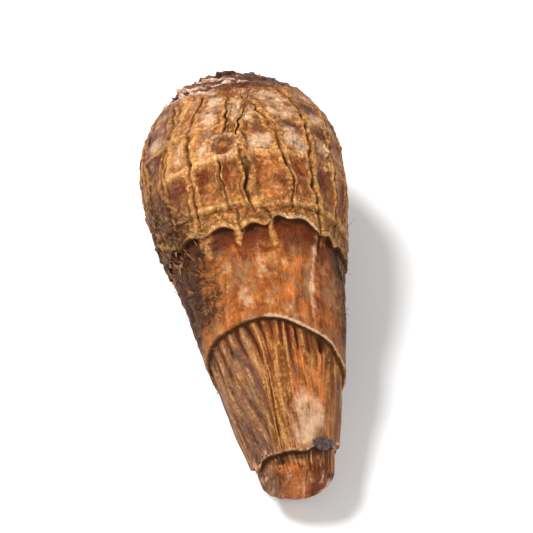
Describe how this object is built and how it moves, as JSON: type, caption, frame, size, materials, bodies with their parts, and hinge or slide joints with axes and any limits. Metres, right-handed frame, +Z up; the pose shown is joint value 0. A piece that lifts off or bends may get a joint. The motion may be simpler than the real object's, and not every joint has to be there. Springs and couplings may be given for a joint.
{
  "type": "taro root",
  "caption": "Taro cormel lying on its side: a round bulb in cracked brown bark, a smooth collar and a tapering fibrous neck with a torn end, for food and still-life scenes.",
  "frame": {"origin": "centre of the bounding box on the ground it lies on", "axes": "+Z up, +Y along the corm towards the crown, -Y towards the neck's torn end"},
  "size_m": [0.044, 0.1018, 0.0453],
  "materials": {
    "skin": "matt, dry and fibrous"
  },
  "bodies": {
    "root": {"taro_corm": "skin"}
  },
  "joints": []
}
